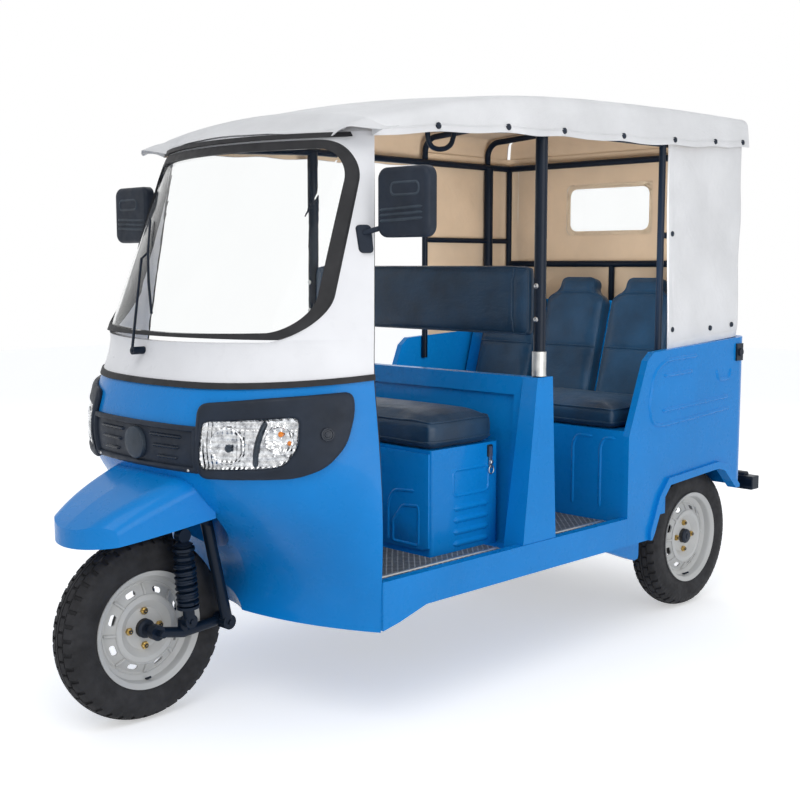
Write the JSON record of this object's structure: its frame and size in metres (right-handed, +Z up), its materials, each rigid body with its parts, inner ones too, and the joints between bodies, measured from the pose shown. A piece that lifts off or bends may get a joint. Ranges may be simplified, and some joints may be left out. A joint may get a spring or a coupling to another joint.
{
  "type": "auto rickshaw",
  "caption": "Passenger three-wheeler: hooded nose with a framed screen, raked link fork, open tub with driver and passenger benches, and a soft canopy over a tube frame.",
  "frame": {"origin": "on the ground below the centre of the vehicle's box", "axes": "+X towards the front wheel, +Y to the vehicle's left, +Z up"},
  "size_m": [2.7679, 1.47, 1.8548],
  "materials": {
    "blue_paint": "gloss",
    "white_paint": "gloss",
    "black_plastic": "satin",
    "black_gloss": "gloss",
    "seal_rubber": "matt",
    "mat_rubber": "matt",
    "screen_glass": "clear",
    "lamp_glass": "clear",
    "red_lens": "gloss",
    "black_steel": "satin",
    "silver_paint": "satin",
    "seat_vinyl": "satin",
    "canopy_cloth": "matt",
    "mirror_face": "polished",
    "cast_metal": "rough",
    "tyre_rubber": "matt",
    "bright_steel": "brushed"
  },
  "bodies": {
    "root": {"front_cowl": "blue_paint", "windshield_surround": "white_paint", "windshield_seal": "seal_rubber", "windshield_glass": "screen_glass", "cowl_trim": "seal_rubber", "roof_header": "white_paint", "nose_fascia": "black_plastic", "headlamps": "lamp_glass", "front_mudguard": "blue_paint", "floor_pan": "blue_paint", "floor_mats": "mat_rubber", "partition": "blue_paint", "driver_seat_box": "blue_paint", "engine_block": "cast_metal", "driver_backrest": "seat_vinyl", "rear_seat_base": "blue_paint", "rear_cushion": "seat_vinyl", "rear_backrests": "seat_vinyl", "rear_panel_left": "blue_paint", "rear_panel_right": "blue_paint", "rear_end_panel": "blue_paint", "tail_lamps": "red_lens", "side_latches": "black_plastic", "side_frames": "black_steel", "roof_frame": "black_steel", "canopy_roof": "canopy_cloth", "side_curtains": "canopy_cloth", "rear_curtain": "canopy_cloth", "rear_window": "screen_glass", "mirrors": "black_plastic", "mirror_glasses": "mirror_face", "wiper": "black_steel", "chassis_frame": "black_steel", "rear_axle": "black_steel", "drive_shaft": "bright_steel", "leaf_springs": "black_steel", "rear_bumper": "black_steel"},
    "steering": {"fork": "black_steel", "leading_links": "black_steel", "front_shocks": "black_steel", "handlebar": "black_steel", "bar_grips": "mat_rubber"},
    "front_wheel": {"front_tyre": "tyre_rubber", "front_rim": "silver_paint", "front_hub": "cast_metal"},
    "rear_wheel_left": {"rear_left_tyre": "tyre_rubber", "rear_left_rim": "silver_paint", "rear_left_hub": "cast_metal"},
    "rear_wheel_right": {"rear_right_tyre": "tyre_rubber", "rear_right_rim": "silver_paint", "rear_right_hub": "cast_metal"},
    "seat_lid": {"driver_cushion": "seat_vinyl"}
  },
  "joints": [
    {"name": "steering_turn", "type": "hinge", "parent": "root", "child": "steering", "pos_m": [1.00926, 0, 0.59], "axis": [-0.342, 0, 0.9397], "range_deg": [-35, 35]},
    {"name": "front_wheel_spin", "type": "hinge", "parent": "steering", "child": "front_wheel", "pos_m": [1.12, 0, 0.264], "axis": [0, 1, 0], "continuous": true},
    {"name": "rear_wheel_left_spin", "type": "hinge", "parent": "root", "child": "rear_wheel_left", "pos_m": [-0.98, 0.455, 0.264], "axis": [0, 1, 0], "continuous": true},
    {"name": "rear_wheel_right_spin", "type": "hinge", "parent": "root", "child": "rear_wheel_right", "pos_m": [-0.98, -0.455, 0.264], "axis": [0, 1, 0], "continuous": true},
    {"name": "seat_lid_hinge", "type": "hinge", "parent": "root", "child": "seat_lid", "pos_m": [0.384, 0, 0.73515], "axis": [0, 1, 0], "range_deg": [0, 60]}
  ]
}
